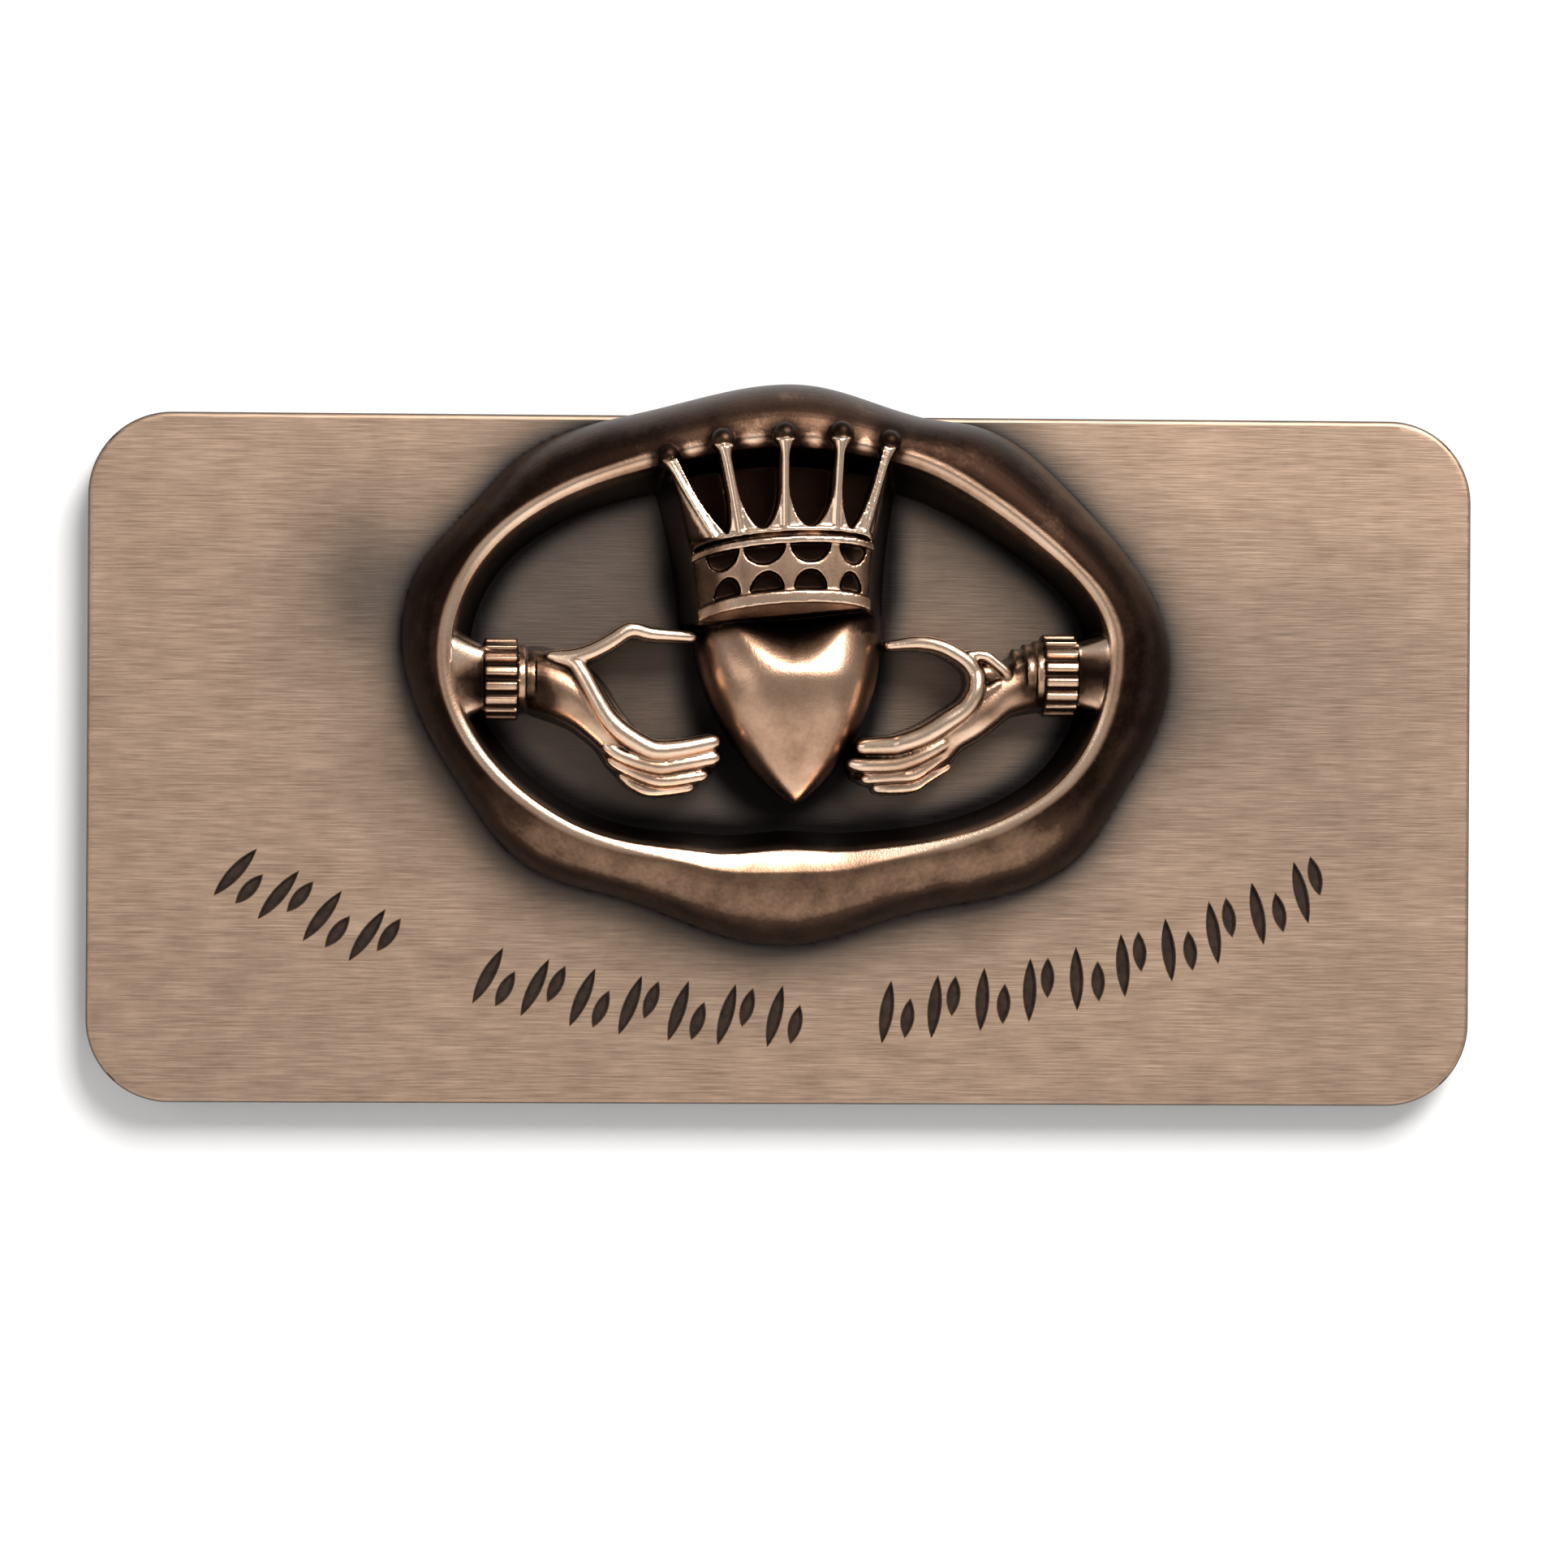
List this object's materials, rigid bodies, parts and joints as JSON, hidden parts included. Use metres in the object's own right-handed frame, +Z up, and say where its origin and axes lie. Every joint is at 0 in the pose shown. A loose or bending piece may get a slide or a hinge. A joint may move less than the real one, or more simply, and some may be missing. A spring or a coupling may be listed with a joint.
{
  "type": "wall plaque",
  "caption": "Rectangular bronze wall plaque with rounded corners, a raised oval Claddagh relief and an arc of chiselled strokes.",
  "frame": {"origin": "middle of the plate's flat back, where it meets the wall", "axes": "+X to the right along the plaque's length, +Z up the wall, +Y into the wall; the face looks along -Y"},
  "size_m": [0.12, 0.0132, 0.0624],
  "materials": {
    "plate_bronze": "brushed antique bronze with a darkened halo round the relief",
    "relief_bronze": "cast bronze, dark brown patina in the hollows and rubbed bright on the ridges"
  },
  "bodies": {
    "root": {"plate": "plate_bronze", "claddagh_relief": "relief_bronze"}
  },
  "joints": []
}
